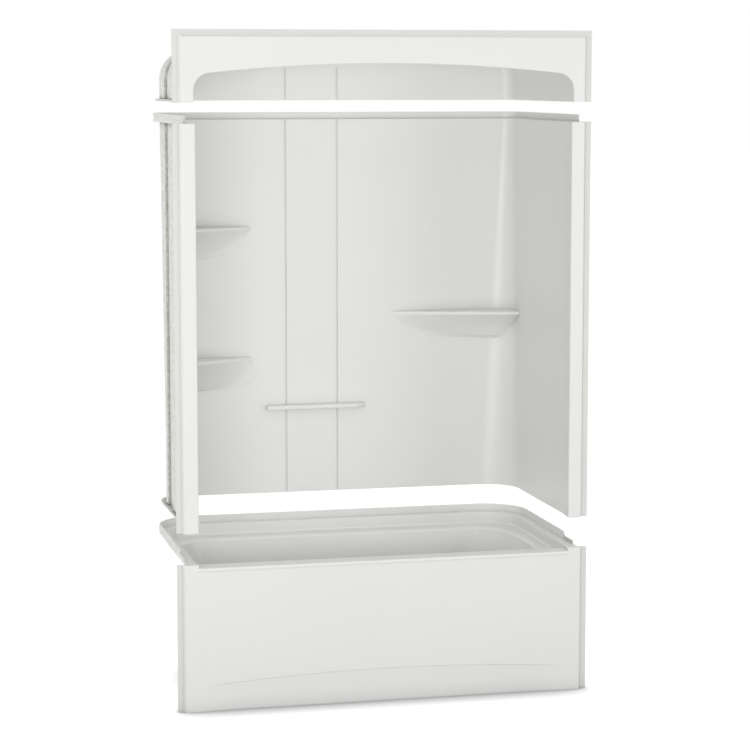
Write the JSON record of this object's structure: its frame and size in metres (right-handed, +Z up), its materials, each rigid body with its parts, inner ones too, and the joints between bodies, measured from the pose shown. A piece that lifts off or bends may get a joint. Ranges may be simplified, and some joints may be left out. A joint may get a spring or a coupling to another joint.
{
  "type": "tub and shower combination",
  "caption": "Sectional alcove bathtub and shower unit: apron-front tub, wall surround with corner shelves and an arched header, shown lifted apart at its lap joints.",
  "frame": {"origin": "on the floor, at the middle of the width and of the depth of the whole unit", "axes": "+Z up, -Y towards the open front, +X to the right as seen from the front"},
  "size_m": [1.524, 0.825, 2.416],
  "materials": {
    "acrylic": "gloss",
    "fibreglass": "rough, sprayed",
    "backing_board": "raw board",
    "timber": "sawn",
    "fastener_steel": "zinc plated",
    "seal_foam": "closed-cell foam"
  },
  "bodies": {
    "tub": {"tub_shell": "acrylic", "floor_board": "backing_board", "front_bearer": "timber", "middle_bearer": "timber", "back_bearer": "timber", "apron_board": "backing_board", "rim_rail": "timber"},
    "wall_section": {"wall_shell": "acrylic", "left_front_board": "fibreglass", "left_rear_board": "fibreglass", "right_front_board": "fibreglass", "right_rear_board": "fibreglass", "back_left_board": "backing_board", "back_right_board": "backing_board", "bar_backing_board": "backing_board", "right_shelf": "acrylic", "low_left_shelf": "acrylic", "high_left_shelf": "acrylic", "accessory_bar": "acrylic", "bar_studs": "fastener_steel", "bar_washers": "fastener_steel", "bar_nuts": "fastener_steel", "wall_seal": "seal_foam"},
    "header": {"header_shell": "acrylic", "fascia_board": "backing_board", "header_left_front_rib": "fibreglass", "header_left_rear_rib": "fibreglass", "header_right_front_rib": "fibreglass", "header_right_rear_rib": "fibreglass", "roof_board": "backing_board", "header_seal": "seal_foam"}
  },
  "joints": [
    {"name": "wall_lift", "type": "slide", "parent": "tub", "child": "wall_section", "axis": [0, 0, 1], "range_m": [-0.1115, 0]},
    {"name": "header_lift", "type": "slide", "parent": "wall_section", "child": "header", "axis": [0, 0, 1], "range_m": [-0.0705, 0]}
  ]
}
